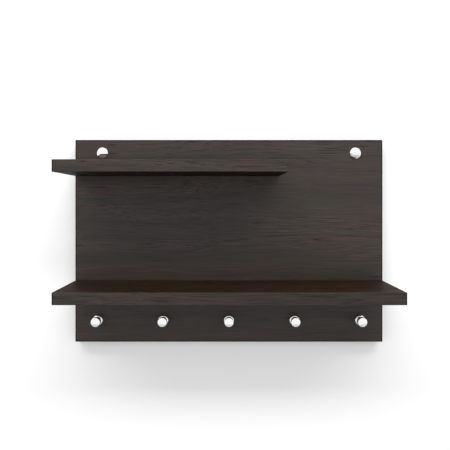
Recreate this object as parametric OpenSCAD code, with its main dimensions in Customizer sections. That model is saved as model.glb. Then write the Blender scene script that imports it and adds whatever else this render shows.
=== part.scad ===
/* [Back panel] */
// Width of the panel, side to side
panel_w = 305; // [260:1:420]
// Height of the panel
panel_h = 200.4; // [180:0.2:300]
// Thickness of every board, laminate included
board_t = 10.8; // [9:0.1:14]
// Eased arris along the outer edges of the boards
edge_break = 0.4; // [0.2:0.1:1]

/* [Shelves] */
// Depth of both shelves, out from the panel's face
shelf_depth = 65; // [50:1:110]
// Length of the upper shelf, from the panel's left side
upper_shelf_len = 203; // [150:1:240]
// Top face of the upper shelf below the panel's top edge
upper_shelf_drop = 25; // [22:0.5:40]
// Underside of the lower shelf above the panel's bottom edge
lower_shelf_rise = 50.2; // [40:0.1:70]

/* [Key pegs] */
// Number of pegs in the row
peg_count = 5; // [3:1:6]
// Centre of the end pegs in from the panel's sides
peg_inset = 22.7; // [12:0.1:40]
// Centre of the pegs above the panel's bottom edge
peg_rise = 21.9; // [14:0.1:30]
// Diameter of the base flange
peg_flange_d = 10.2; // [9.5:0.1:14]
// Thickness of the base flange
peg_flange_t = 2.8; // [2:0.1:5]
// Diameter of the neck that a key ring hangs on
peg_neck_d = 5.6; // [5:0.1:7]
// Width of the groove between flange and head
peg_groove_w = 3.5; // [2.5:0.1:8]
// Largest diameter of the head, near its front
peg_head_d = 9.3; // [9.2:0.1:14]
// Diameter of the head at its back
peg_head_back_d = 8.9; // [8:0.1:9.2]
// Thickness of the head at its rim
peg_head_t = 4.5; // [3:0.1:8]
// Rise of the head's crowned front above its rim
peg_crown = 0.2; // [0.1:0.05:0.6]
// Radius of the head's front edge
peg_edge_r = 0.5; // [0.3:0.1:1]
// Radius of the flange's front edge
peg_flange_edge_r = 1.2; // [0.4:0.1:1.5]
// Radius of the corners inside the groove and at the head's back
peg_groove_r = 0.4; // [0.2:0.1:0.6]

/* [Wall fixings] */
// Diameter of the domed cap
cap_d = 11.5; // [11:0.1:16]
// Height of the domed cap
cap_h = 3.3; // [2.5:0.1:5]
// Height of the cap's straight rim
cap_rim_h = 0.6; // [0.3:0.1:1.5]
// Centre of the caps in from the panel's sides
cap_inset = 26.7; // [12:0.1:45]
// Centre of the caps below the panel's top edge
cap_drop = 13.1; // [9:0.1:15]
// Radius of the cap's edge where it meets the board
cap_edge_r = 0.25; // [0.1:0.05:0.3]
// Width of the ring on which the cap seats
cap_land_w = 1; // [0.6:0.1:1.5]
// Depth of the hollow behind the cap
cap_hollow = 0.4; // [0.2:0.1:0.6]
// Diameter of the threaded stud behind the cap
cap_stud_d = 3; // [2.5:0.1:3.2]
// Length of the stud
cap_stud_len = 3.8; // [3:0.1:5]
// Chamfer at the end of the stud
cap_stud_lead = 0.3; // [0.1:0.1:0.5]
// Outer diameter of the wall screw's thread
wall_screw_d = 5; // [4.5:0.1:6]
// Diameter of the wall screw's plain shank
wall_shank_d = 4.2; // [4:0.1:4.4]
// Diameter of the wall screw's countersunk head
wall_head_d = 9.2; // [8:0.1:10]
// Length of the wall screw behind the panel
wall_screw_reach = 27.2; // [20:0.1:50]
// Start of the wall screw's thread behind the panel
wall_thread_start = 1.2; // [0.6:0.1:3]

/* [Inner screws] */
// Outer diameter of the shelf screws' thread
shelf_screw_d = 3.5; // [3:0.1:4.5]
// Diameter of the shelf screws' countersunk head
shelf_screw_head_d = 7; // [6:0.1:8]
// Length of the shelf screws inside the shelf
shelf_screw_bite = 24.2; // [15:0.1:35]
// Outermost shelf screws in from the shelf's ends
shelf_screw_inset = 30; // [15:1:60]
// Screws that hold the upper shelf
upper_screw_count = 2; // [2:1:4]
// Screws that hold the lower shelf
lower_screw_count = 3; // [2:1:5]
// Outer diameter of the peg screws' thread
peg_screw_d = 3; // [2.5:0.1:3.5]
// Diameter of the peg screws' countersunk head
peg_screw_head_d = 5.6; // [5:0.1:7]
// Length of the peg screws inside the peg
peg_screw_bite = 5.2; // [4:0.1:7]
// Chamfer at the end of the peg screws
peg_screw_lead = 0.4; // [0.2:0.1:0.6]

/* [Screw forms] */
// Height of the straight lip around a countersunk head
head_lip = 0.4; // [0.2:0.1:0.6]
// Radius of a wood screw's blunted point
point_r = 0.25; // [0.1:0.05:0.4]
// Length of a wood screw's point for each millimetre that its radius shrinks
point_slope = 1.6; // [1.2:0.1:2.5]
// Span of the cross recess in the shelf screws' heads
shelf_recess_w = 3.9; // [3:0.1:4.4]
// Span of the cross recess in the peg screws' heads
peg_recess_w = 3.1; // [2.4:0.1:3.4]

/* [Fits] */
// Radial clearance between a thread and its hole
thread_clear = 0.1; // [0.05:0.05:0.3]
// Radial clearance between a countersunk head and its seat
seat_clear = 0.05; // [0.02:0.01:0.1]
// Room left beyond the end of a screw in a blind hole
end_clear = 0.5; // [0.2:0.1:2]
// Depth of a screw head below the surface around it
head_sink = 0.2; // [0.1:0.05:0.5]

/* [Hidden] */
$fn = 64;

wood = [0.25, 0.19, 0.16];
polished = [0.86, 0.87, 0.88];
zinc = [0.66, 0.67, 0.68];

// The origin is the middle of the panel's back face; the front faces -Y.
left = -1;
right = 1;
side_x = panel_w / 2;
top_z = panel_h / 2;
face_y = -board_t;
upper_shelf_z = top_z - upper_shelf_drop - board_t;
lower_shelf_z = -top_z + lower_shelf_rise;
upper_shelf_x = -side_x + upper_shelf_len / 2;
peg_pitch = (panel_w - 2 * peg_inset) / (peg_count - 1);
peg_z = -top_z + peg_rise;
cap_x = side_x - cap_inset;
cap_z = top_z - cap_drop;

// Slot width and depth of a cross recess as shares of its span, and the slope of its tapered wings
recess_slot_share = 0.22;
recess_depth_share = 0.46;
recess_slope = 0.5;

// A cutter runs this far past the surface it opens, and solids fused into one piece this far into each other
through = 1;
fuse = 1;

function peg_x(i) = -side_x + peg_inset + (i - 1) * peg_pitch;

// Place i of n along a shelf that is len long and centred on x
function shelf_screw_x(x, len, n, i) =
    x - len / 2 + shelf_screw_inset + (i - 1) * (len - 2 * shelf_screw_inset) / (n - 1);
function upper_screw_x(i) = shelf_screw_x(upper_shelf_x, upper_shelf_len, upper_screw_count, i);
function lower_screw_x(i) = shelf_screw_x(0, panel_w, lower_screw_count, i);

// Points of an arc of radius r around c, from angle a0 to a1
function arc(c, r, a0, a1, steps = 8) =
    [for (k = [0:steps]) let (a = a0 + (a1 - a0) * k / steps) c + r * [cos(a), sin(a)]];

// A rectangle w by d with its front corners eased by c, and its back ones by c_back
function eased_outline(w, d, c, c_back) = concat(
    [[-w / 2, c], [-w / 2 + c, 0], [w / 2 - c, 0], [w / 2, c]],
    c_back > 0
        ? [[w / 2, d - c_back], [w / 2 - c_back, d], [-w / 2 + c_back, d], [-w / 2, d - c_back]]
        : [[w / 2, d], [-w / 2, d]]
);

// A board w by d by t with its front at y = 0, eased along every edge that is open to touch
module board(w, d, t, c_back) {
    intersection() {
        linear_extrude(t) polygon(eased_outline(w, d, edge_break, c_back));
        translate([0, d, 0]) rotate([90, 0, 0])
            linear_extrude(d) polygon(eased_outline(w, t, edge_break, edge_break));
        translate([-w / 2, 0, t / 2]) rotate([0, 90, 0])
            linear_extrude(w) polygon(eased_outline(t, d, edge_break, c_back));
    }
}

// Turn a piece made along +Z so that it points into the boards from behind, or out of the face
module from_behind(x, z) { translate([x, 0, z]) rotate([90, 0, 0]) children(); }
module from_front(x, z) { translate([x, face_y, z]) rotate([-90, 0, 0]) children(); }
module onto_face(x, z) { translate([x, face_y, z]) rotate([90, 0, 0]) children(); }

// Countersunk hole: the head's seat, then a straight hole of radius r
module countersunk_hole(head_d, r, depth) {
    seat_r = head_d / 2 + seat_clear;
    lip_end = head_sink + head_lip;
    translate([0, 0, -through]) cylinder(r = seat_r, h = through + lip_end);
    translate([0, 0, lip_end]) cylinder(r1 = seat_r, r2 = r, h = seat_r - r);
    translate([0, 0, lip_end]) cylinder(r = r, h = depth - lip_end);
}

// Cross-shaped driver recess w across at the top of a head, its four wings tapered like the driver's
module driver_recess(w) {
    slot_w = w * recess_slot_share;
    deep = w * recess_depth_share;
    top_r = w / 2 + through * recess_slope;
    floor_r = w / 2 - deep * recess_slope;
    translate([0, 0, head_sink - through]) intersection() {
        for (turn = [0, 90])
            rotate(turn) translate([-top_r, -slot_w / 2, 0]) cube([2 * top_r, slot_w, deep + through]);
        cylinder(r1 = top_r, r2 = floor_r, h = deep + through);
    }
}

// Countersunk head and the round shank below it, both measured from the surface
module screw_top(head_d, shank_d, shank_end) {
    lip_end = head_sink + head_lip;
    translate([0, 0, head_sink]) cylinder(d = head_d, h = head_lip);
    translate([0, 0, lip_end])
        cylinder(r1 = head_d / 2, r2 = shank_d / 2, h = (head_d - shank_d) / 2);
    translate([0, 0, lip_end]) cylinder(d = shank_d, h = shank_end - lip_end);
}

// Threaded length as its outer envelope, from start to a pointed tip at end
module pointed_thread(d, start, end) {
    tip = (d / 2 - point_r) * point_slope;
    translate([0, 0, start]) cylinder(d = d, h = end - tip - start);
    translate([0, 0, end - tip]) cylinder(r1 = d / 2, r2 = point_r, h = tip);
}

module back_panel() {
    color(wood) difference() {
        translate([0, face_y, -top_z]) board(panel_w, board_t, panel_h, edge_break);
        for (side = [left, right])
            from_front(side * cap_x, cap_z)
                countersunk_hole(wall_head_d, wall_screw_d / 2 + thread_clear, board_t + through);
        for (i = [1:peg_count])
            from_behind(peg_x(i), peg_z)
                countersunk_hole(peg_screw_head_d, peg_screw_d / 2 + thread_clear, board_t + through);
        for (i = [1:upper_screw_count])
            from_behind(upper_screw_x(i), upper_shelf_z + board_t / 2)
                countersunk_hole(shelf_screw_head_d, shelf_screw_d / 2 + thread_clear, board_t + through);
        for (i = [1:lower_screw_count])
            from_behind(lower_screw_x(i), lower_shelf_z + board_t / 2)
                countersunk_hole(shelf_screw_head_d, shelf_screw_d / 2 + thread_clear, board_t + through);
    }
}

// Blind pilot hole for a shelf screw, bored into the shelf's back edge
module pilot_hole(x, z) {
    from_behind(x, z)
        cylinder(d = shelf_screw_d + 2 * thread_clear, h = board_t + shelf_screw_bite + end_clear);
}

module upper_shelf() {
    color(wood) difference() {
        translate([upper_shelf_x, face_y - shelf_depth, upper_shelf_z])
            board(upper_shelf_len, shelf_depth, board_t, 0);
        for (i = [1:upper_screw_count]) pilot_hole(upper_screw_x(i), upper_shelf_z + board_t / 2);
    }
}

module lower_shelf() {
    color(wood) difference() {
        translate([0, face_y - shelf_depth, lower_shelf_z])
            board(panel_w, shelf_depth, board_t, 0);
        for (i = [1:lower_screw_count]) pilot_hole(lower_screw_x(i), lower_shelf_z + board_t / 2);
    }
}

// Turned peg: flange, waisted neck and a head that widens towards its crowned front
module key_peg(i) {
    flange_r = peg_flange_d / 2;
    neck_r = peg_neck_d / 2;
    back_r = peg_head_back_d / 2;
    head_r = peg_head_d / 2;
    e = peg_edge_r;
    f = peg_groove_r;
    g = min(peg_flange_edge_r, flange_r - neck_r - 2 * f);
    groove_end = peg_flange_t + peg_groove_w;
    rim_z = groove_end + peg_head_t;
    crown_chord = head_r - e;
    crown_r = (pow(crown_chord, 2) + pow(peg_crown, 2)) / (2 * peg_crown);
    crown_a = asin(crown_chord / crown_r);
    profile = concat(
        [[0, 0], [flange_r, 0]],
        arc([flange_r - g, peg_flange_t - g], g, 0, 90),
        arc([neck_r + f, peg_flange_t + f], f, -90, -180, 5),
        arc([neck_r + f, groove_end - f], f, 180, 90, 5),
        arc([back_r - f, groove_end + f], f, -90, 0, 5),
        arc([head_r - e, rim_z - e], e, 0, 90),
        [for (p = arc([0, rim_z + peg_crown - crown_r], crown_r, 90 - crown_a, 90, 6))
            if (p.x < crown_chord - 0.01) p]
    );
    color(polished) onto_face(peg_x(i), peg_z) difference() {
        rotate_extrude() polygon(profile);
        translate([0, 0, -through])
            cylinder(d = peg_screw_d + 2 * thread_clear, h = through + peg_screw_bite + end_clear);
    }
}

// Machine screw through the panel into the peg's tapped hole
module peg_screw(i) {
    end = board_t + peg_screw_bite;
    color(zinc) from_behind(peg_x(i), peg_z) difference() {
        union() {
            screw_top(peg_screw_head_d, peg_screw_d, end - peg_screw_lead);
            translate([0, 0, end - peg_screw_lead])
                cylinder(r1 = peg_screw_d / 2, r2 = peg_screw_d / 2 - peg_screw_lead, h = peg_screw_lead);
        }
        driver_recess(peg_recess_w);
    }
}

// Low polished dome with a relieved back and a threaded stud
module screw_cap(side) {
    rim_r = cap_d / 2;
    dome_h = cap_h - cap_rim_h;
    dome_r = (pow(rim_r, 2) + pow(dome_h, 2)) / (2 * dome_h);
    dome_a = asin(rim_r / dome_r);
    land_r = rim_r - cap_land_w;
    stud_r = cap_stud_d / 2;
    profile = concat(
        [[0, -cap_stud_len], [stud_r - cap_stud_lead, -cap_stud_len], [stud_r, cap_stud_lead - cap_stud_len]],
        [[stud_r, cap_hollow], [land_r - cap_hollow, cap_hollow], [land_r, 0]],
        arc([rim_r - cap_edge_r, cap_edge_r], cap_edge_r, -90, 0, 4),
        arc([0, cap_h - dome_r], dome_r, 90 - dome_a, 90, 14)
    );
    color(polished) onto_face(side * cap_x, cap_z) rotate_extrude() polygon(profile);
}

// Wall screw: countersunk flush in the panel's face, its head tapped for the cap's stud
module wall_screw(side) {
    color(zinc) from_front(side * cap_x, cap_z) difference() {
        union() {
            screw_top(wall_head_d, wall_shank_d, board_t + wall_thread_start + fuse);
            pointed_thread(wall_screw_d, board_t + wall_thread_start, board_t + wall_screw_reach);
        }
        translate([0, 0, -through])
            cylinder(d = cap_stud_d + 2 * thread_clear, h = through + cap_stud_len + end_clear);
    }
}

// Wood screw from behind the panel into the middle of a shelf's back edge
module shelf_screw(x, z) {
    end = board_t + shelf_screw_bite;
    color(zinc) from_behind(x, z) difference() {
        union() {
            screw_top(shelf_screw_head_d, shelf_screw_d, board_t);
            pointed_thread(shelf_screw_d, board_t - fuse, end);
        }
        driver_recess(shelf_recess_w);
    }
}

back_panel();
upper_shelf();
lower_shelf();
for (i = [1:peg_count]) {
    key_peg(i);
    peg_screw(i);
}
screw_cap(left);  // screw_cap_left
screw_cap(right);  // screw_cap_right
wall_screw(left);  // wall_screw_left
wall_screw(right);  // wall_screw_right
for (i = [1:upper_screw_count])
    shelf_screw(upper_screw_x(i), upper_shelf_z + board_t / 2);
for (i = [1:lower_screw_count])
    shelf_screw(lower_screw_x(i), lower_shelf_z + board_t / 2);
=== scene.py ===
# %% [markdown]
# # A wall key holder, dressed for the camera
# The object is three faced boards, a row of turned pegs, and two wall screws under polished
# caps, with ten more screws hidden in the boards. The boards and the hidden screws come finished
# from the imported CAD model, because a flat board is all in its material and the screws show no
# more than their heads. The other turned metal is remade here as fine surfaces, because bright
# metal shows every facet. The frame gives all places, so nothing is fitted by eye.

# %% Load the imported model
import math
import bpy
import numpy as np
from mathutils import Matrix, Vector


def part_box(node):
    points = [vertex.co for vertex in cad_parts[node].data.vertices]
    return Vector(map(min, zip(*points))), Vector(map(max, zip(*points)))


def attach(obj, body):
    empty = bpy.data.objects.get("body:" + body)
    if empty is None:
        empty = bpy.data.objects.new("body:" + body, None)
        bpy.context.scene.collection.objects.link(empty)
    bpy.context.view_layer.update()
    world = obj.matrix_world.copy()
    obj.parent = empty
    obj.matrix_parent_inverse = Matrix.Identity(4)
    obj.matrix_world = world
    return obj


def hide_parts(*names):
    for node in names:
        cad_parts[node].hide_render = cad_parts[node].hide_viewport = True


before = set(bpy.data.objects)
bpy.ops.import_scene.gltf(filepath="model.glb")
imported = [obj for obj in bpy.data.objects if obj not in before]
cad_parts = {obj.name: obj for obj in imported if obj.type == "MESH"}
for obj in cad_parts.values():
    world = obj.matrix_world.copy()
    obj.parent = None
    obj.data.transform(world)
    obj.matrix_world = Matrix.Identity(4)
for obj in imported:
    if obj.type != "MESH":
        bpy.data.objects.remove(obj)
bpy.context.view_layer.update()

MM = 0.001

# %% [markdown]
# ## The camera
# The photographer stood square to the wall, a little above the middle of the panel, and close:
# the shelves' front edges look a sixth larger than the panel behind them. That ratio and the
# shelves' depth give the distance, 473 mm from the panel's face. The picture is a crop from
# below the lens axis. A tilted camera would show the same part of the wall, but its verticals
# would run together, so the lens is shifted instead.

# %% Camera square to the wall
panel_lo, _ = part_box("back_panel")
PANEL_FACE_Y = panel_lo[1]
CAMERA_DISTANCE = 473.3 * MM
CAMERA_X, CAMERA_Z = -3.0 * MM, 37.8 * MM
CLOSEST = 10 * MM
SENSOR = 36.0
FOCAL_PIXELS, FRAME_PIXELS = 476.7, 450
AXIS_RIGHT_PIXELS, AXIS_UP_PIXELS = 0.9, 22.2

camera_data = bpy.data.cameras.new("camera")
camera_data.sensor_width = SENSOR
camera_data.lens = SENSOR * FOCAL_PIXELS / FRAME_PIXELS
camera_data.shift_x = -AXIS_RIGHT_PIXELS / FRAME_PIXELS
camera_data.shift_y = -AXIS_UP_PIXELS / FRAME_PIXELS
camera_data.clip_start = CLOSEST
camera = bpy.data.objects.new("camera", camera_data)
camera.location = (CAMERA_X, PANEL_FACE_Y - CAMERA_DISTANCE, CAMERA_Z)
camera.rotation_euler = (math.pi / 2, 0, 0)
bpy.context.scene.collection.objects.link(camera)
bpy.context.scene.camera = camera
print("camera: lens", round(camera_data.lens, 2), "mm, at", [round(c, 4) for c in camera.location])

# %% [markdown]
# ## Arrays become pieces
# A mesh is a list of points and a list of faces. The modelling tools could make these shapes
# step by step, but an array says exactly where each point lies and is quick to work out. Each
# piece is written with its place in its mesh and its object unmoved at the origin. Turned metal
# is smooth along its curves and crisp at its corners, so shading is smooth except where two
# faces meet at more than a set angle.

# %% From arrays to a piece
SHARP_DEGREES = 35


def piece_from_arrays(name, points, faces):
    """A mesh object from an n by 3 array of points and a list of faces, smooth except at edges that turn
    by more than SHARP_DEGREES."""
    mesh = bpy.data.meshes.new(name)
    mesh.from_pydata(points.tolist(), [], faces)
    mesh.validate()
    mesh.polygons.foreach_set("use_smooth", np.ones(len(mesh.polygons), dtype=bool))
    mesh.set_sharp_from_angle(angle=math.radians(SHARP_DEGREES))
    mesh.update()
    piece = bpy.data.objects.new(name, mesh)
    bpy.context.scene.collection.objects.link(piece)
    return piece


def rides(piece, slot, *nodes):
    """The piece stands for the nodes and moves with the one body. Its slot is not used."""
    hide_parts(*nodes)
    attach(piece, "root")


print("pieces: smooth, with edges of more than", SHARP_DEGREES, "degrees sharp")

# %% [markdown]
# ## A profile goes round
# Pegs, caps and screws are all turned on a lathe, where one profile goes round an axis. A Screw
# modifier could turn it, but its seam and its poles would have to be merged afterwards. Here the
# last column of faces joins the first, and each pole is one point with a fan of triangles
# around it, so the skin is closed from the start. Cells of the grid get their four corners by
# array sums, and no loop runs over points.

# %% Turn a profile
AROUND = 96


def arc(centre, radius, start, end, steps):
    """Points at centre + radius * (cos a, sin a) for a from start to end degrees."""
    a = np.radians(np.linspace(start, end, steps + 1))
    return np.column_stack([centre[0] + radius * np.cos(a), centre[1] + radius * np.sin(a)])


def turned(profile, around=AROUND, ridge=None):
    """A closed turned surface: the point (r, h) of the profile goes round as (r cos a, r sin a, h) for
    a full turn of a. The profile starts and ends on the axis, where r is 0. A ridge(a, h) is added to r."""
    inner = profile[1:-1]
    rows = len(inner)
    a = np.linspace(0, 2 * np.pi, around, endpoint=False)[None, :]
    r, h = inner[:, :1], np.repeat(inner[:, 1:], around, axis=1)
    if ridge is not None:
        r = r + ridge(a, h)
    ring = np.stack([r * np.cos(a), r * np.sin(a), h], axis=-1).reshape(-1, 3)
    poles = np.array([[0, 0, profile[0, 1]], [0, 0, profile[-1, 1]]])
    column = np.arange(around)
    after = (column + 1) % around
    row = around * np.arange(rows - 1)[:, None]
    quads = np.stack([row + column, row + after, row + around + after, row + around + column], axis=-1)
    last_row, start_pole, end_pole = around * (rows - 1), around * rows, around * rows + 1
    start_fan = np.stack([np.full(around, start_pole), after, column], axis=-1)
    end_fan = np.stack([np.full(around, end_pole), last_row + column, last_row + after], axis=-1)
    faces = quads.reshape(-1, 4).tolist() + start_fan.tolist() + end_fan.tolist()
    return np.vstack([ring, poles]), faces


def set_on(points, x, z, y, outward):
    """Turns points made along +Z so that +Z becomes -Y, out of the wall, or with outward at 1 +Y, into it,
    and moves them to (x, y, z): (a, b, h) becomes (x + a, y + outward h, z - outward b)."""
    return np.column_stack([x + points[:, 0], y + outward * points[:, 2], z - outward * points[:, 1]])


cone_points, cone_faces = turned(np.array([[0, 0], [1, 0], [0, 1]]))
print("a cone for a test:", len(cone_points), "points and", len(cone_faces), "faces")

# %% [markdown]
# ## The key pegs
# A peg is turned from bar on a lathe and then chromed: a round flange that lies on the panel, a
# waisted neck that the key ring hangs on, and a head that widens towards its front so that the
# ring can't slide off. From behind it is bored for its screw. Cylinders with bevels would come
# near, but in mirror chrome the width of an edge is seen as the width of its dark line, so each
# corner is a true arc of its own size. The flange slopes a little, as the bright ring past each
# head tells, and the front is slightly crowned.

# %% The profile of a peg
NECK_R, HEAD_BACK_R, HEAD_R = 2.8 * MM, 4.40 * MM, 4.45 * MM
FLANGE_T, GROOVE_W, HEAD_T, CROWN = 2.8 * MM, 3.5 * MM, 4.45 * MM, 0.25 * MM
HEAD_EDGE_R, FLANGE_EDGE_R, GROOVE_R = 0.3 * MM, 1.2 * MM, 0.4 * MM
BEVEL_FROM_R, BEVEL_DEGREES = 3.4 * MM, 12
BORE_R, BORE_DEPTH = 1.6 * MM, 5.7 * MM
CORNER_STEPS, HEAD_STEPS = 8, 12


def peg_profile(flange_r):
    """Radius and height of a peg, from the floor of the bore for its screw, on the axis, to its crowned
    front. The flange's front slopes down to a rounded edge, each corner of the head and of the groove is a
    quarter circle, and the head's front is the cap of a large sphere."""
    e, f, g = HEAD_EDGE_R, GROOVE_R, FLANGE_EDGE_R
    groove_end = FLANGE_T + GROOVE_W
    rim = groove_end + HEAD_T
    slope = math.radians(BEVEL_DEGREES)
    edge_x = flange_r - g
    bevel_drop = (edge_x + g * math.sin(slope) - BEVEL_FROM_R) * math.tan(slope)
    edge_h = FLANGE_T - bevel_drop - g * math.cos(slope)
    flat_r = HEAD_R - e
    crown_r = (flat_r**2 + CROWN**2) / (2 * CROWN)
    crown_half = math.degrees(math.asin(flat_r / crown_r))
    return np.vstack([
        [[0, BORE_DEPTH], [BORE_R, BORE_DEPTH], [BORE_R, 0], [flange_r, 0]],
        arc((edge_x, edge_h), g, 0, 90 - BEVEL_DEGREES, CORNER_STEPS),
        [[BEVEL_FROM_R, FLANGE_T]],
        arc((NECK_R + f, FLANGE_T + f), f, 270, 180, CORNER_STEPS),
        arc((NECK_R + f, groove_end - f), f, 180, 90, CORNER_STEPS),
        arc((HEAD_BACK_R - f, groove_end + f), f, -90, 0, CORNER_STEPS),
        arc((HEAD_R - e, rim - e), e, 0, 90, HEAD_STEPS),
        arc((0, rim + CROWN - crown_r), crown_r, 90 - crown_half, 90, HEAD_STEPS)[1:],
    ])


print("a peg stands", round((FLANGE_T + GROOVE_W + HEAD_T + CROWN) / MM, 2), "mm out of the panel")


# %% Turn five pegs
def turn_peg(node):
    """One peg, as wide as its node and standing where the node stands."""
    lo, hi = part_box(node)
    points, faces = turned(peg_profile((hi[0] - lo[0]) / 2))
    points = set_on(points, (lo[0] + hi[0]) / 2, (lo[2] + hi[2]) / 2, hi[1], -1)
    piece = piece_from_arrays(node + "_turned", points, faces)
    rides(piece, "chrome", node)
    return piece


peg_nodes = sorted(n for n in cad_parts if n.startswith("key_peg_"))
pegs = [turn_peg(node) for node in peg_nodes]
print("pegs:", len(pegs), "of", len(pegs[0].data.polygons), "faces")

# %% [markdown]
# ## The screw caps
# A cap is a low dome, polished to a mirror, with a threaded stud behind it that goes into the
# head of the wall screw. Its rim is 0.6 mm high, and the metal behind the rim is hollowed so
# that only the outer ring touches the board. A flattened sphere would do for the dome alone, but
# it has no rim, so the cap is turned from a profile as a peg is.

# %% The profile of a cap
CAP_STUD_R, CAP_STUD_LEN, CAP_STUD_LEAD = 1.5 * MM, 3.8 * MM, 0.3 * MM
CAP_HOLLOW, CAP_LAND_W = 0.4 * MM, 1.0 * MM
CAP_RIM_H, CAP_EDGE_R = 0.6 * MM, 0.25 * MM
CAP_EDGE_STEPS, DOME_STEPS = 5, 28


def cap_profile(rim_r, height):
    """Radius and height of a cap, from the end of its stud on the axis, over the hollow and the rim, to
    the top of the dome, which is the cap of a sphere through the rim."""
    land_r = rim_r - CAP_LAND_W
    dome_h = height - CAP_RIM_H
    dome_r = (rim_r**2 + dome_h**2) / (2 * dome_h)
    dome_half = math.degrees(math.asin(rim_r / dome_r))
    return np.vstack([
        [[0, -CAP_STUD_LEN], [CAP_STUD_R - CAP_STUD_LEAD, -CAP_STUD_LEN]],
        [[CAP_STUD_R, CAP_STUD_LEAD - CAP_STUD_LEN], [CAP_STUD_R, CAP_HOLLOW]],
        [[land_r - CAP_HOLLOW, CAP_HOLLOW], [land_r, 0]],
        arc((rim_r - CAP_EDGE_R, CAP_EDGE_R), CAP_EDGE_R, -90, 0, CAP_EDGE_STEPS),
        arc((0, height - dome_r), dome_r, 90 - dome_half, 90, DOME_STEPS),
    ])


print("a cap's stud reaches", CAP_STUD_LEN / MM, "mm into the head of its screw")


# %% Turn two caps
def turn_cap(node):
    """One cap, seated on the panel's face."""
    lo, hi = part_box(node)
    profile = cap_profile((hi[0] - lo[0]) / 2, PANEL_FACE_Y - lo[1])
    points, faces = turned(profile)
    points = set_on(points, (lo[0] + hi[0]) / 2, (lo[2] + hi[2]) / 2, PANEL_FACE_Y, -1)
    piece = piece_from_arrays(node + "_turned", points, faces)
    rides(piece, "chrome", node)
    return piece


caps = [turn_cap(node) for node in ("screw_cap_left", "screw_cap_right")]
print("caps:", len(caps), "of", len(caps[0].data.polygons), "faces")

# %% [markdown]
# ## The wall screws
# What shows behind the panel is the thread. On the real screw it is rolled: one ridge that winds
# along the core, sharp at its crest, and fades in at the shank and out at the point. It could be
# a helix of its own that is stuck into the core, but then the skins would cut through each
# other. A turned surface with a ridge added to its radius stays one closed skin. The ridge is
# highest where its phase, the height in pitches less the turn, passes one half.

# %% The profile and the ridge of a wall screw
SCREW_SINK, SCREW_LIP, SCREW_SHANK_R, SCREW_CORE_R = 0.2 * MM, 0.4 * MM, 2.1 * MM, 1.6 * MM
TAPPED_R, TAPPED_DEPTH = 1.6 * MM, 4.3 * MM
THREAD_R, THREAD_PITCH, THREAD_START = 2.5 * MM, 2.2 * MM, 1.2 * MM
POINT_R, POINT_LEN, RIDGE_SHARE, RIDGE_FADE = 0.25 * MM, 3.6 * MM, 0.36, 2.2 * MM
THREAD_STEP, SCREW_AROUND = 0.11 * MM, 64


def core_radius(h, end):
    """The screw's core at height h: straight, then a cone down to the point."""
    return np.minimum(SCREW_CORE_R, (end - h) * SCREW_CORE_R / (POINT_LEN + POINT_R))


def screw_profile(head_r, thread_start, end):
    """Radius and height of a wall screw without its ridge, from the floor of the tapped hole on the axis,
    round the head, down the countersink and the shank, and along the core in even steps to the point."""
    lip_end = SCREW_SINK + SCREW_LIP
    cone_end = lip_end + head_r - SCREW_SHANK_R
    core_start = thread_start + SCREW_SHANK_R - SCREW_CORE_R
    heights = np.arange(core_start, end - POINT_R, THREAD_STEP)
    return np.vstack([
        [[0, TAPPED_DEPTH], [TAPPED_R, TAPPED_DEPTH], [TAPPED_R, SCREW_SINK], [head_r, SCREW_SINK]],
        [[head_r, lip_end], [SCREW_SHANK_R, cone_end], [SCREW_SHANK_R, thread_start]],
        np.column_stack([core_radius(heights, end), heights]),
        [[0, end]],
    ])


def screw_ridge(thread_start, end):
    """The ridge as a function of turn and height: a triangle wave of the phase, from the core out to the
    thread's radius, or to the cone of the point, times a ramp over its first turn."""
    def ridge(a, h):
        """How far the ridge stands out of the core at the turn a and the height h."""
        phase = (h / THREAD_PITCH - a / (2 * np.pi)) % 1
        wave = np.clip(1 - np.abs(phase - 0.5) / (RIDGE_SHARE / 2), 0, 1)
        share = np.clip((end - h) / POINT_LEN, 0, 1)
        outer = POINT_R + (THREAD_R - POINT_R) * share
        fade = np.clip((h - thread_start - THREAD_PITCH / 4) / RIDGE_FADE, 0, 1)
        return wave * fade * np.maximum(outer - core_radius(h, end), 0)
    return ridge


print("thread:", round(2 * THREAD_R / MM, 1), "mm wide, one turn in", round(THREAD_PITCH / MM, 1), "mm")


# %% Turn and thread two wall screws
def turn_wall_screw(node):
    """One wall screw, from its seat in the panel's face to its point behind the wall."""
    lo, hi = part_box(node)
    end = hi[1] - PANEL_FACE_Y
    thread_start = THREAD_START - PANEL_FACE_Y
    profile = screw_profile((hi[0] - lo[0]) / 2, thread_start, end)
    points, faces = turned(profile, SCREW_AROUND, screw_ridge(thread_start, end))
    points = set_on(points, (lo[0] + hi[0]) / 2, (lo[2] + hi[2]) / 2, PANEL_FACE_Y, 1)
    piece = piece_from_arrays(node + "_threaded", points, faces)
    rides(piece, "zinc", node)
    return piece


wall_screws = [turn_wall_screw(node) for node in ("wall_screw_left", "wall_screw_right")]
print("wall screws:", len(wall_screws), "of", len(wall_screws[0].data.polygons), "faces")

# %% [markdown]
# ## How the materials are wired
# Every finish below is a small graph of shader nodes on Object coordinates, which stay with the
# piece. Such a graph can be drawn by hand in the shader editor, but in a script it can be read
# from top to bottom. Three helpers start a material, add any node with its inputs filled, and
# link the finished shader to the output.

# %% Materials and their nodes
def new_material(name):
    """An empty material with its output node, and its shader left to the caller."""
    material = bpy.data.materials.new(name)
    material.use_nodes = True
    material.node_tree.nodes.clear()
    material.node_tree.nodes.new("ShaderNodeOutputMaterial")
    return material, material.node_tree


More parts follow.
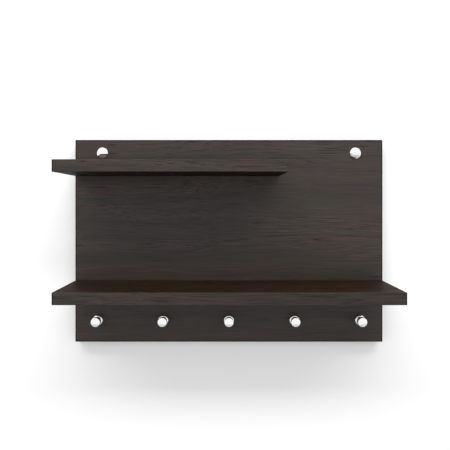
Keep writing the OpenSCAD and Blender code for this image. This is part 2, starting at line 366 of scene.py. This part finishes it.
def add(tree, kind, inputs=(), out=0, **settings):
    """Adds a shader node, sets its settings, fills its inputs with values or links, and returns one of its
    outputs. Inputs and out go by name or number."""
    node = tree.nodes.new("ShaderNode" + kind)
    for name, value in settings.items():
        setattr(node, name, value)
    for key, value in dict(inputs).items():
        if isinstance(value, bpy.types.NodeSocket):
            tree.links.new(value, node.inputs[key])
        else:
            node.inputs[key].default_value = value
    return node.outputs[out]


def finish_with(tree, shader):
    """Links a shader to the material's output."""
    tree.links.new(shader, tree.nodes["Material Output"].inputs["Surface"])


print("materials of the packed model:", [material.name for material in bpy.data.materials])

# %% [markdown]
# ## Sums and noise on the surface
# What a finish does from place to place is arithmetic on numbers and vectors, which the renderer
# works out for each point that it sees. One of these helpers gives noise that is stretched along
# the grain. Noise stretched a hundred times longer than wide is the whole secret of procedural
# wood. Painted grain would need an image, which has only as many points as it was made with.

# %% Sums, colours and noise
NOISE_MIDDLE = 0.5


def sums(tree, operation, *values):
    """One step of arithmetic on numbers or outputs."""
    return add(tree, "Math", enumerate(values), operation=operation)


def vectors(tree, operation, *values):
    """One step of arithmetic on vectors."""
    return add(tree, "VectorMath", enumerate(values), operation=operation)


def product(tree, first, *others):
    """All the numbers multiplied."""
    for other in others:
        first = sums(tree, "MULTIPLY", first, other)
    return first


def largest(tree, first, *others):
    """The largest of the numbers. For numbers that are 0 or 1 it says whether any is 1."""
    for other in others:
        first = sums(tree, "MAXIMUM", first, other)
    return first


def split(tree, vector):
    """The three numbers of a vector."""
    return add(tree, "SeparateXYZ", {0: vector}).node.outputs


def blend_colours(tree, share, first, second, blend_type="MIX"):
    """The first colour where share is 0 and the second, or its blend with the first, where it is 1. A Mix
    node holds its two colours in inputs 6 and 7 and gives a colour at output 2."""
    values = {0: share, 6: first, 7: second}
    return add(tree, "Mix", values, out=2, data_type="RGBA", blend_type=blend_type)


def level(tree, value, start, end, low=0.0, high=1.0):
    """low up to start, high from end on, and a smooth step between them."""
    inputs = {"Value": value, "From Min": start, "From Max": end, "To Min": low, "To Max": high}
    return add(tree, "MapRange", inputs, interpolation_type="SMOOTHSTEP")


def grain_noise(tree, place, along, across, detail, shift=0.0):
    """Noise whose spots are about along by across, in the units of place. Its shift picks other spots."""
    scale = (1 / along, 1 / across, 1 / across)
    stretched = vectors(tree, "MULTIPLY_ADD", place, scale, (shift, shift, shift))
    return add(tree, "TexNoise", {"Vector": stretched, "Scale": 1.0, "Detail": detail})


def place_in_mm(tree):
    """Object coordinates in millimetres."""
    place = add(tree, "TexCoord", out="Object")
    return add(tree, "VectorMath", {0: place, "Scale": 1 / MM}, operation="SCALE")


helpers = (sums, vectors, product, largest, split, blend_colours, level, grain_noise, place_in_mm)
print("helpers for the graphs:", ", ".join(helper.__name__ for helper in helpers))

# %% [markdown]
# ## Where a board lies on the sheet
# The boards are faced with a printed wood grain. Each is cut from its own part of the sheet, so
# no two show the same figure, and the edging on a board's ends runs the long way of that end. An
# image of wood would have to be unwrapped onto each board and would blur up close. Here the
# print is worked out from the place on the sheet, in millimetres, so all that is needed is that
# place, with its first number along the grain.

# %% The place on a board
END_COSINE = 0.72
PER_MM = (1 / MM, 1 / MM, 1 / MM)


def board_place(tree, end_axis, cut_at):
    """The place on the sheet: Object coordinates in millimetres, plus cut_at, the first number along the
    grain. On faces that look along X the grain runs along end_axis, Y or Z, so X changes places with it
    there. A Mix node holds its two vectors in inputs 4 and 5 and gives a vector at output 1."""
    coordinates = add(tree, "TexCoord").node.outputs
    x, y, z = split(tree, coordinates["Object"])
    facing_x = split(tree, coordinates["Normal"])[0]
    on_end = sums(tree, "GREATER_THAN", sums(tree, "ABSOLUTE", facing_x), END_COSINE)
    swapped = add(tree, "CombineXYZ", enumerate({"Y": (y, x, z), "Z": (z, y, x)}[end_axis]))
    choice = {0: on_end, 4: coordinates["Object"], 5: swapped}
    place = add(tree, "Mix", choice, out=1, data_type="VECTOR")
    return vectors(tree, "MULTIPLY_ADD", place, PER_MM, cut_at)


print("grain: turned on faces within", round(math.degrees(math.acos(END_COSINE))), "degrees of the ends")

# %% [markdown]
# ## The edges of the boards
# Where the edging meets the face a dark line shows, hardly a millimetre wide. The eased corner
# itself is painted a little darker than the board as painted shade, which damps the highlight it
# catches from the light above. The line could be modelled as a strip of its own, but it has no
# thickness that could be seen. So it is left to the material, which knows how far a place is from
# each side of the board's box. On the shelves the line shows at their ends only: elsewhere the
# light washes it out.

# %% The line along the edges
EASE, EDGING_FULL, EDGING_END = 0.4 * MM, 0.6 * MM, 1.4 * MM
EDGING_FADE = 14 * MM
# The eased corners are darkened by this share: painted shade that damps the highlight they catch from above.
EASED_SHADE_SHARE = 0.3


def edging_line_and_eased_shade(tree, board, line_from):
    """1 in the dark line along the edges of a board, EASED_SHADE_SHARE on its eased corners as painted
    shade against the highlight they catch, and 0 inside. The distance to the nearest edge is the middle
    one of the distances to the three pairs of sides of the board's box, and the distance to an edge of
    the board's ends is the larger of x and the smaller of the other two. With line_from at 0 the line
    runs all round. Otherwise it runs only along the edges of the ends, and only further than line_from
    from the middle of the holder."""
    lo, hi = np.array(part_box(board))
    place = add(tree, "TexCoord", out="Object")
    from_middle = vectors(tree, "ABSOLUTE", vectors(tree, "SUBTRACT", place, tuple((lo + hi) / 2)))
    x, y, z = split(tree, vectors(tree, "SUBTRACT", tuple((hi - lo) / 2), from_middle))
    larger, smaller = sums(tree, "MAXIMUM", x, y), sums(tree, "MINIMUM", x, y)
    to_edge = sums(tree, "MAXIMUM", smaller, sums(tree, "MINIMUM", larger, z))
    to_end_edge = sums(tree, "MAXIMUM", x, sums(tree, "MINIMUM", y, z))
    line = level(tree, to_end_edge if line_from else to_edge, EDGING_FULL, EDGING_END, 1.0, 0.0)
    sideways = sums(tree, "ABSOLUTE", split(tree, place)[0])
    near_ends = level(tree, sideways, line_from - EDGING_FADE, line_from)
    eased = sums(tree, "LESS_THAN", to_edge, EASE)
    return largest(tree, product(tree, line, near_ends), product(tree, eased, EASED_SHADE_SHARE))


print("edging: a line", EDGING_FULL / MM, "mm wide that fades out at", EDGING_END / MM, "mm")

# %% [markdown]
# ## The wenge print
# Up close the print has six things: slow bands a hand long, fine lines a millimetre wide, light
# gleams between them, dark open grain like short pencil strokes, tints that wander from reddish
# to olive brown, and calm zones where the gleams and the open grain fade. The calm zones lie where
# shade falls, under the shelves and on the skirt, and the lively ones where the panel is lit, and
# there the print is also a shade lighter: partly a change in the print, partly painted light and
# shade. All six are stretched noise, each with spots of its own size. The lines bend a little,
# because the place is first pushed sideways by a slow noise. The Wave texture gives bands as well,
# but they repeat, and the eye finds that at once.

# %% Patterns of the print
# Each noise: length and width of its spots in millimetres, its finer octaves, and a shift.
SWAY_SPOTS, SWAY = (120, 60, 1.0), 11
BANDS, LINES = (240, 11, 2.0), (55, 0.8, 2.0, 7.3)

# Each pattern: such a noise, and the two values of it between which the pattern rises from low to 1.
SPOTS = {
    # This pattern's shift puts its spots where the panel is lit and its gaps under the shelves and on the
    # skirt, where shade falls: painted light and shade.
    "lively_and_lit": (260, 26, 1.0, 104.72, 0.45, 0.61),
    "gleams": (38, 0.5, 1.0, 3.1, 0.57, 0.70),
    "strokes": (44, 0.5, 1.0, 11.9, 0.57, 0.70),
    "pores": (5, 0.2, 1.0, 5.7, 0.58, 0.70),
    "reddish": (60, 8, 2.0, 17.7, 0.36, 0.64),
}


def spots(tree, place, pattern, low=0.0):
    """One pattern of the print: 1 in its spots and low between them."""
    along, across, detail, shift, start, end = SPOTS[pattern]
    return level(tree, grain_noise(tree, place, along, across, detail, shift), start, end, low)


def swayed(tree, place):
    """The place pushed across the grain, by SWAY millimetres times what a slow noise has over its middle."""
    noise = grain_noise(tree, place, *SWAY_SPOTS)
    sway = product(tree, sums(tree, "SUBTRACT", noise, NOISE_MIDDLE), SWAY)
    return vectors(tree, "ADD", place, add(tree, "CombineXYZ", {1: sway, 2: sway}))


print("print:", len(SPOTS), "patterns over bands", BANDS[0], "mm long and lines", LINES[1], "mm wide")

# %% The colour of the print
GRAIN_DARK, GRAIN_MID = (0.0050, 0.0030, 0.0022, 1), (0.0172, 0.0104, 0.0068, 1)
GRAIN_LIGHT, GLEAM = (0.0350, 0.0225, 0.0160, 1), (0.0430, 0.0205, 0.0165, 1)
TINT_OLIVE, TINT_RED = (0.97, 1.08, 0.85), (1.19, 1.00, 1.12)
BANDS_IN_TONE, LINES_IN_TONE, LIVELY_LIT_IN_TONE, TONE_BASE = 0.6, 0.7, 0.08, -0.01
DARK_TO_MID, MID_TO_LIGHT = (0.44, 0.72), (0.70, 1.00)
GLEAM_SHARE, PORE_SHARE = 0.8, 0.25


def print_colour(tree, place, lines, lively_and_lit, depth):
    """The colour without the open grain. A tone is the sum of bands, lines and the lively zones, each times
    its share. The lively zones lie where the panel is lit, so their share is painted light. It runs from
    dark over middle to light, the gleams are laid over it where the print is lively, and all is tinted.
    Depth multiplies the tint."""
    tone = sums(tree, "MULTIPLY_ADD", grain_noise(tree, place, *BANDS), BANDS_IN_TONE, TONE_BASE)
    tone = sums(tree, "MULTIPLY_ADD", lines, LINES_IN_TONE, tone)
    # Painted light: the tone is a shade lighter in the lively zones, which lie where the panel is lit.
    tone = sums(tree, "MULTIPLY_ADD", lively_and_lit, LIVELY_LIT_IN_TONE, tone)
    colour = blend_colours(tree, level(tree, tone, *DARK_TO_MID), GRAIN_DARK, GRAIN_MID)
    colour = blend_colours(tree, level(tree, tone, *MID_TO_LIGHT), colour, GRAIN_LIGHT)
    gleams = product(tree, lively_and_lit, GLEAM_SHARE, spots(tree, place, "gleams"))
    colour = blend_colours(tree, gleams, colour, GLEAM)
    olive, red = (tuple(depth * c for c in hue) + (1,) for hue in (TINT_OLIVE, TINT_RED))
    tint = blend_colours(tree, spots(tree, place, "reddish"), olive, red)
    return blend_colours(tree, 1.0, colour, tint, "MULTIPLY")


def open_grain(tree, place, lively_and_lit):
    """1 in the strokes, PORE_SHARE in the short pores and 0 elsewhere, times the lively zones, so the open
    grain fades in the calm zones, where shade falls.
    """
    pores = product(tree, spots(tree, place, "pores"), PORE_SHARE)
    return product(tree, largest(tree, spots(tree, place, "strokes"), pores), lively_and_lit)


print("wood: the lightest is", round(GRAIN_LIGHT[0] / GRAIN_DARK[0]), "times as light as the darkest")

# %% [markdown]
# ## The lacquer, and dressing the boards
# The face is sealed with a semi-matt lacquer. It fills the open grain and the edging's joint
# badly, so both mirror less, and the open grain is rougher and a trace deeper than the face. A
# plain Principled shader turns to a mirror at a low angle, as glass does, but this lacquer is
# too matt for that, so the share of light that it mirrors is led down again by Layer Weight. The
# boards keep their own meshes, and only their material is new.

# %% The gloss of the lacquer
GLANCE_FROM, GLANCE_TO, GLANCE_GLOSS, GLANCE_BLEND = 0.30, 0.80, 0.02, 0.5
GRAIN_LOSS, EDGING_LOSS = 0.4, 0.9
# Gloss in the calm zones, where shade falls, and extra gloss in the lively ones, where the panel is lit:
# painted light in the gloss.
CALM_SHADED_LACQUER, LIVELY_LIT_LACQUER = 0.93, 0.09


def lacquer_gloss(tree, grain, edging_and_eased_shade, lively_and_lit, gloss):
    """How strongly the lacquer mirrors: gloss where it is seen square on, down to GLANCE_GLOSS at a low
    angle, less in the open grain, in the edging line and on the eased corners, and a little more in
    the lively zones, which lie where the panel is lit, so that the gloss paints light there."""
    lost = sums(tree, "MULTIPLY_ADD", grain, GRAIN_LOSS, product(tree, edging_and_eased_shade, EDGING_LOSS))
    kept = sums(tree, "SUBTRACT", 1.0, lost)
    gloss_where_lit = sums(tree, "MULTIPLY_ADD", lively_and_lit, LIVELY_LIT_LACQUER, CALM_SHADED_LACQUER)
    angle = add(tree, "LayerWeight", {"Blend": GLANCE_BLEND}, out="Facing")
    return product(tree, level(tree, angle, GLANCE_FROM, GLANCE_TO, gloss, GLANCE_GLOSS), kept, gloss_where_lit)


print("lacquer:", CALM_SHADED_LACQUER, "of its gloss where calm,", CALM_SHADED_LACQUER + LIVELY_LIT_LACQUER, "where lively")

# %% Laminate for the three boards
LINES_LOW, LINES_HIGH = 0.3, 0.7
ROUGH_ON_DARK, ROUGH_ON_LIGHT, GRAIN_ROUGHER = 0.54, 0.48, 0.12
GRAIN_DEPTH, GRAIN_RELIEF = 0.04 * MM, 0.35


def laminate(board, end_axis, cut_at, line_from, calm_and_shaded, depth, gloss):
    """Wenge laminate, its grain along X. calm_and_shaded is what is left of gleams and open grain in the
    calm zones, which lie where shade falls.
    """
    material, tree = new_material(board + "_laminate")
    place = swayed(tree, board_place(tree, end_axis, cut_at))
    lines = grain_noise(tree, place, *LINES)
    # Painted light and shade: the lively zones lie where the panel is lit, the calm ones where shade falls.
    lively_and_lit = spots(tree, place, "lively_and_lit", calm_and_shaded)
    grain = open_grain(tree, place, lively_and_lit)
    edging_and_eased_shade = edging_line_and_eased_shade(tree, board, line_from)
    colour = print_colour(tree, place, lines, lively_and_lit, depth)
    roughness = level(tree, lines, LINES_LOW, LINES_HIGH, ROUGH_ON_DARK, ROUGH_ON_LIGHT)
    finish_with(tree, add(tree, "BsdfPrincipled", {
        # The open grain, the edging line and the painted shade on the eased corners darken the colour here.
        "Base Color": blend_colours(tree, largest(tree, grain, edging_and_eased_shade), colour, GRAIN_DARK),
        "Roughness": sums(tree, "MULTIPLY_ADD", grain, GRAIN_ROUGHER, roughness),
        "Specular IOR Level": lacquer_gloss(tree, grain, edging_and_eased_shade, lively_and_lit, gloss),
        "Normal": add(tree, "Bump", {"Height": grain, "Strength": GRAIN_RELIEF, "Distance": -GRAIN_DEPTH}),
    }))
    return material


def dress(node_name, material):
    """Puts the material in every slot of a node that is shown as packed."""
    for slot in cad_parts[node_name].material_slots:
        slot.material = material


SHELF_LINE_FROM = 132 * MM
BOARD_SHEETS = {
    "back_panel": dict(end_axis="Z", cut_at=(-380.0, 40.0, 700.0), line_from=0.0,
                       calm_and_shaded=0.1, depth=1.05, gloss=0.515),
    "upper_shelf": dict(end_axis="Y", cut_at=(640.0, 210.0, 75.0), line_from=SHELF_LINE_FROM,
                        calm_and_shaded=0.8, depth=1.0, gloss=0.475),
    "lower_shelf": dict(end_axis="Y", cut_at=(-700.0, 560.0, 160.0), line_from=SHELF_LINE_FROM,
                        calm_and_shaded=0.8, depth=0.98, gloss=0.425),
}
for board, sheet in BOARD_SHEETS.items():
    dress(board, laminate(board, **sheet))
print("boards dressed:", ", ".join(BOARD_SHEETS))

# %% [markdown]
# ## Chrome and zinc
# Polished chrome is nearly a mirror, but a perfect one looks false: buffing leaves it a trace
# less sharp in places, so its roughness wanders. The screws are zinc plated and tumbled, which
# is duller, a little cloudy in tone and finely pitted. One plain metal with two roughnesses
# would tell them apart, but only from afar. So both follow a noise with spots of about 2 mm, and
# the zinc a finer one for its pits as well.

# %% Chrome for the pegs and caps, zinc for the screws
CLOUD_LOW, CLOUD_HIGH = 0.3, 0.7
CHROME_SPOTS, CHROME_SHARP, CHROME_SOFT = (2.5, 2.5, 3.0), 0.04, 0.09
CHROME_DIM, CHROME_BRIGHT = (0.90, 0.90, 0.905, 1), (0.95, 0.95, 0.95, 1)
ZINC_SPOTS, ZINC_SHARP, ZINC_SOFT = (1.8, 1.8, 3.0), 0.24, 0.38
ZINC_DIM, ZINC_BRIGHT = (0.50, 0.51, 0.53, 1), (0.68, 0.68, 0.67, 1)
PIT_SPOTS, PIT_DEPTH, PIT_RELIEF = (0.25, 0.25, 2.0, 9.1), 0.02 * MM, 0.2


def metal_shader(tree, cloud, dim, bright, sharp, soft, others=()):
    """A bare metal whose colour and roughness follow the noise cloud, with others as its further inputs."""
    return add(tree, "BsdfPrincipled", {
        "Base Color": blend_colours(tree, cloud, dim, bright),
        "Metallic": 1.0,
        "Roughness": level(tree, cloud, CLOUD_LOW, CLOUD_HIGH, sharp, soft),
        **dict(others),
    })


def chrome_plate():
    """Bright chrome plate, less sharp in places."""
    material, tree = new_material("chrome_plate")
    buffing = grain_noise(tree, place_in_mm(tree), *CHROME_SPOTS)
    finish_with(tree, metal_shader(tree, buffing, CHROME_DIM, CHROME_BRIGHT, CHROME_SHARP, CHROME_SOFT))
    return material


def zinc_plate():
    """Tumbled zinc plate, cloudy and finely pitted."""
    material, tree = new_material("zinc_plate")
    place = place_in_mm(tree)
    cloud = grain_noise(tree, place, *ZINC_SPOTS)
    pits = grain_noise(tree, place, *PIT_SPOTS)
    relief = add(tree, "Bump", {"Height": pits, "Strength": PIT_RELIEF, "Distance": PIT_DEPTH})
    shader = metal_shader(tree, cloud, ZINC_DIM, ZINC_BRIGHT, ZINC_SHARP, ZINC_SOFT, {"Normal": relief})
    finish_with(tree, shader)
    return material


chrome, zinc = chrome_plate(), zinc_plate()
for piece in pegs + caps:
    piece.data.materials.append(chrome)
for piece in wall_screws:
    piece.data.materials.append(zinc)
inner_screws = sorted(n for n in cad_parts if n.startswith("peg_screw_") or "_shelf_screw_" in n)
for screw in inner_screws:
    dress(screw, zinc)
print("chromed:", len(pegs + caps), "pieces; zinc plated:", len(wall_screws) + len(inner_screws))

# %% [markdown]
# ## The wall
# A studio often has one sheet that curves from wall to floor. Here they are two flat ones,
# because a holder hangs on a real wall, and its polished pegs mirror the floor below. The wall
# is white and one-sided: seen from behind it is clear, so the back of the holder can be looked
# at, and light that scatters passes it, so the back isn't black. To the camera and to bright
# metal the wall adds a faint glow of its own, which carries its lit parts up to white and leaves
# the shadow.

# %% The wall
FLOOR_Z, STAGE = -1.2, 3.0
WALL_Y, WALL_GAP = 0.4 * MM, 5 * MM
WALL_PAINT, WALL_GLOW = 0.86, 0.02


def flat_sheet(name, corners, material):
    """A single flat face with its material."""
    mesh = bpy.data.meshes.new(name)
    mesh.from_pydata(corners, [], [tuple(range(len(corners)))])
    mesh.materials.append(material)
    sheet = bpy.data.objects.new(name, mesh)
    bpy.context.scene.collection.objects.link(sheet)


def wall_material():
    """Matt white paint with a glow for the eye, clear from behind and to light that scatters. It is clear
    to what is nearer than WALL_GAP too, so that the panel's back doesn't mirror it."""
    material, tree = new_material("white_wall")
    path = add(tree, "LightPath").node.outputs
    paint = add(tree, "BsdfDiffuse", {"Color": (WALL_PAINT, WALL_PAINT, WALL_PAINT, 1)})
    seen = largest(tree, path["Is Camera Ray"], path["Is Glossy Ray"], path["Is Transmission Ray"])
    glow = add(tree, "Emission", {"Strength": product(tree, seen, WALL_GLOW)})
    lit = add(tree, "AddShader", {0: paint, 1: glow})
    too_near = sums(tree, "LESS_THAN", path["Ray Length"], WALL_GAP)
    behind = add(tree, "NewGeometry", out="Backfacing")
    passes = largest(tree, path["Is Shadow Ray"], path["Is Diffuse Ray"], too_near, behind)
    finish_with(tree, add(tree, "MixShader", {0: passes, 1: lit, 2: add(tree, "BsdfTransparent")}))
    return material


flat_sheet("wall", [(-STAGE, WALL_Y, FLOOR_Z), (STAGE, WALL_Y, FLOOR_Z),
                    (STAGE, WALL_Y, STAGE), (-STAGE, WALL_Y, STAGE)], wall_material())
print("wall:", round(WALL_Y / MM, 1), "mm behind the panel's back")

# %% [markdown]
# ## The floor
# A pale floor lies 1.2 m below the holder's middle. It is darker than the wall, as a real floor
# is, and that gives the lower part of each shiny head its soft grey. One even tone would do for
# the floor itself, but its far edge would then draw a hard line in the heads. So the floor pales
# with the distance from the holder.

# %% The floor
FLOOR_PAINT, FLOOR_PAINT_FAR = 0.43, 0.64
FLOOR_NEAR, FLOOR_FAR = 1.0, 2.6
FLOOR_CLOUD, FLOOR_SPOTS, FLOOR_ROUGHNESS = 0.04, (0.4, 0.4, 3.0), 0.8


def floor_material():
    """Pale screed with a faint cloud in it. Its tone rises with the level distance from the origin."""
    material, tree = new_material("pale_floor")
    place = add(tree, "TexCoord", out="Object")
    cloud = sums(tree, "SUBTRACT", grain_noise(tree, place, *FLOOR_SPOTS), NOISE_MIDDLE)
    flat_place = vectors(tree, "MULTIPLY", place, (1, 1, 0))
    away = add(tree, "VectorMath", {0: flat_place}, out="Value", operation="LENGTH")
    paint = level(tree, away, FLOOR_NEAR, FLOOR_FAR, FLOOR_PAINT, FLOOR_PAINT_FAR)
    grey = sums(tree, "MULTIPLY_ADD", cloud, FLOOR_CLOUD, paint)
    finish_with(tree, add(tree, "BsdfPrincipled", {"Base Color": grey, "Roughness": FLOOR_ROUGHNESS}))
    return material


flat_sheet("floor", [(-STAGE, -STAGE, FLOOR_Z), (STAGE, -STAGE, FLOOR_Z),
                     (STAGE, STAGE, FLOOR_Z), (-STAGE, STAGE, FLOOR_Z)], floor_material())
print("floor:", -FLOOR_Z, "m below the holder's middle,", 2 * STAGE, "m wide")

# %% [markdown]
# ## The light
# The shadow under the holder tells where the light was. It has one soft edge, 50 to 75 mm below
# the panel, and hardly any at the sides, so the key light was a long strip along the wall's
# width, narrow in height, about 54 degrees up. A sun lamp at that height would draw the sides of
# the shadow as clearly as its lower edge. The rest came evenly from a white room, which is the
# world here, at a strength of 1. A weak lamp behind the wall is only for looking at the back.

# %% Lamps and world
KEY_PLACE, KEY_SIZE, KEY_WATTS = (0.0, -0.80, 1.10), (2.6, 0.25), 21
FILL_PLACE, FILL_SIZE, FILL_WATTS = (0.5, 1.2, 0.5), (1.0, 0.6), 3
ROOM_COLOUR, ROOM_STRENGTH = (1, 1, 1, 1), 1.0


def area_lamp(name, place, size, watts):
    """A rectangular lamp at place that faces the origin, its first side level."""
    data = bpy.data.lights.new(name, "AREA")
    data.shape = "RECTANGLE"
    data.size, data.size_y = size
    data.energy = watts
    lamp = bpy.data.objects.new(name, data)
    lamp.location = place
    x, y, z = place
    lamp.rotation_euler = (math.acos(z / math.dist(place, (0, 0, 0))), 0, math.atan2(y, x) + math.pi / 2)
    bpy.context.scene.collection.objects.link(lamp)


area_lamp("key", KEY_PLACE, KEY_SIZE, KEY_WATTS)
area_lamp("back_fill", FILL_PLACE, FILL_SIZE, FILL_WATTS)

world = bpy.data.worlds.new("white_room")
world.use_nodes = True
background = world.node_tree.nodes["Background"].inputs
background["Color"].default_value = ROOM_COLOUR
background["Strength"].default_value = ROOM_STRENGTH
bpy.context.scene.world = world

# %% [markdown]
# ## The view
# The colours are shown plainly, without a film curve.

# %% The view without a film curve
bpy.context.scene.view_settings.view_transform = "Standard"
